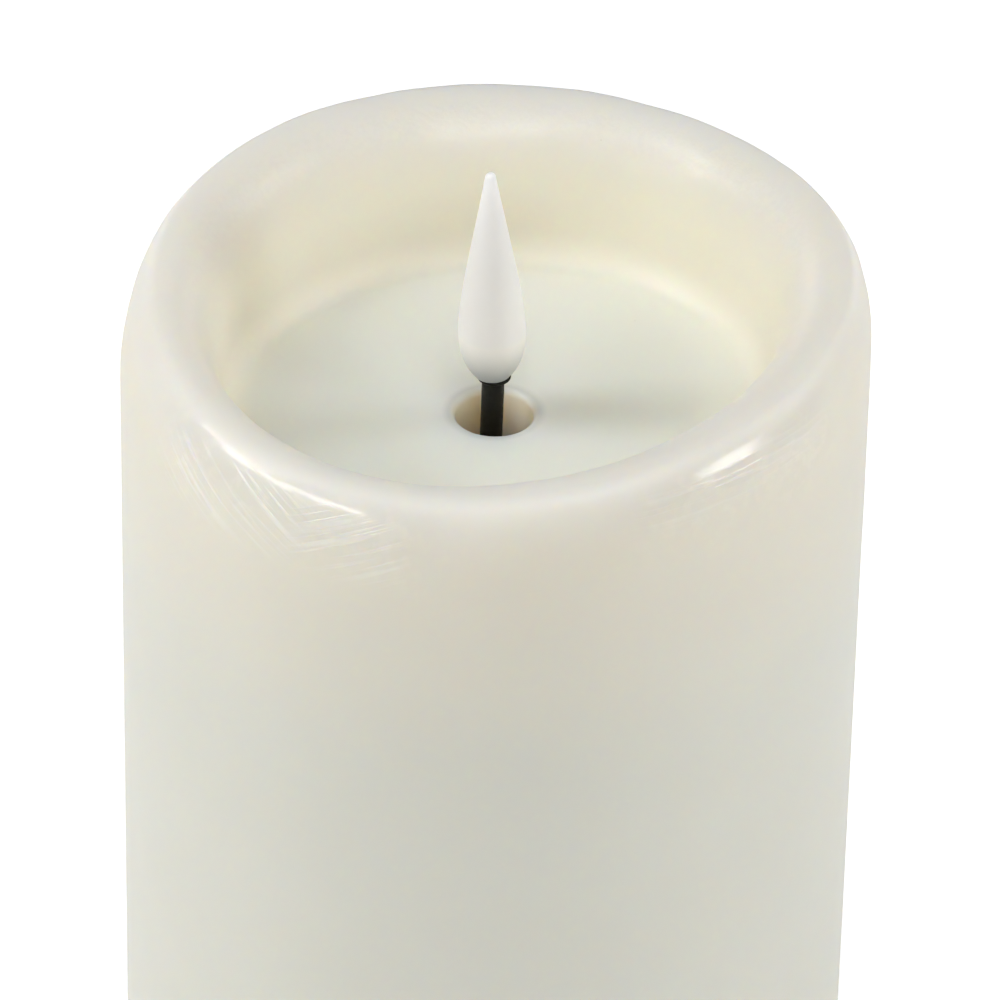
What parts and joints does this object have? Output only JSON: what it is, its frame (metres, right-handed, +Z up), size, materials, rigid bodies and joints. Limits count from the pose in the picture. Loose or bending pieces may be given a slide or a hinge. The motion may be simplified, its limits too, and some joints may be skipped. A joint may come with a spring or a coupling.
{
  "type": "flameless led pillar candle",
  "caption": "Real-wax pillar with a recessed top, a frosted flame diffuser on a black wick, and a battery core with a hinged door and a slide switch underneath.",
  "frame": {"origin": "centre of the base, on the surface that the candle stands on", "axes": "+Z up the candle, -Y towards the side with the slide switch, +X to the right seen from that side"},
  "size_m": [0.101, 0.101, 0.1703],
  "materials": {
    "wax": "ivory paraffin wax, satin with glossy melted spots on the rim",
    "flame_diffuser": "frosted white plastic",
    "wick_sleeve": "dull black sleeve",
    "cream_plastic": "fine spark-eroded ABS",
    "white_plastic": "plain moulded ABS",
    "dark_plastic": "satin black plastic",
    "steel": "zinc plated",
    "contact_brass": "plain strip",
    "foot_foam": "closed-cell foam",
    "cell_sleeve": "printed shrink sleeve without any lettering",
    "board": "green solder mask",
    "red_wire": "PVC insulation",
    "black_wire": "PVC insulation",
    "yellow_wire": "PVC insulation",
    "diode_lens": "clear epoxy with a warm phosphor tint"
  },
  "bodies": {
    "candle": {"wax_shell": "wax", "flame": "flame_diffuser", "flame_cup": "wick_sleeve", "wick_stem": "wick_sleeve", "wick_bushing": "dark_plastic", "flame_led": "diode_lens", "led_lead_red": "red_wire", "led_lead_black": "black_wire", "riser_tube": "white_plastic", "riser_hood": "white_plastic", "hood_screw_1": "steel", "hood_screw_2": "steel", "circuit_board": "board", "board_screw_1": "steel", "board_screw_2": "steel", "controller_chip": "dark_plastic", "chip_resistor": "dark_plastic", "timer_crystal": "steel", "capacitor": "dark_plastic", "battery_lead_red": "red_wire", "battery_lead_black": "black_wire", "battery_box": "white_plastic", "battery_cell_1": "cell_sleeve", "battery_cell_2": "cell_sleeve", "positive_contact": "contact_brass", "negative_spring": "steel", "bay_screw_1": "steel", "bay_screw_2": "steel", "base_ring": "cream_plastic", "base_plate": "cream_plastic", "base_screw_1": "steel", "base_screw_2": "steel", "base_screw_3": "steel", "foot_pad_1": "foot_foam", "foot_pad_2": "foot_foam", "foot_pad_3": "foot_foam", "foot_pad_4": "foot_foam", "switch_body": "steel", "switch_screw_1": "steel", "switch_screw_2": "steel", "switch_terminal_1": "contact_brass", "switch_terminal_2": "contact_brass", "switch_terminal_3": "contact_brass", "switch_lead_1": "yellow_wire", "switch_lead_2": "black_wire", "switch_lead_3": "red_wire"},
    "door": {"battery_door": "cream_plastic", "bridge_strip": "contact_brass", "bridge_spring": "steel"},
    "knob": {"switch_knob": "dark_plastic"}
  },
  "joints": [
    {"name": "door_swing", "type": "hinge", "parent": "candle", "child": "door", "pos_m": [0, 0.0232, 0.0034], "axis": [1, 0, 0], "range_deg": [0, 95]},
    {"name": "switch_slide", "type": "slide", "parent": "candle", "child": "knob", "axis": [1, 0, 0], "range_m": [-0.002, 0.002]}
  ]
}
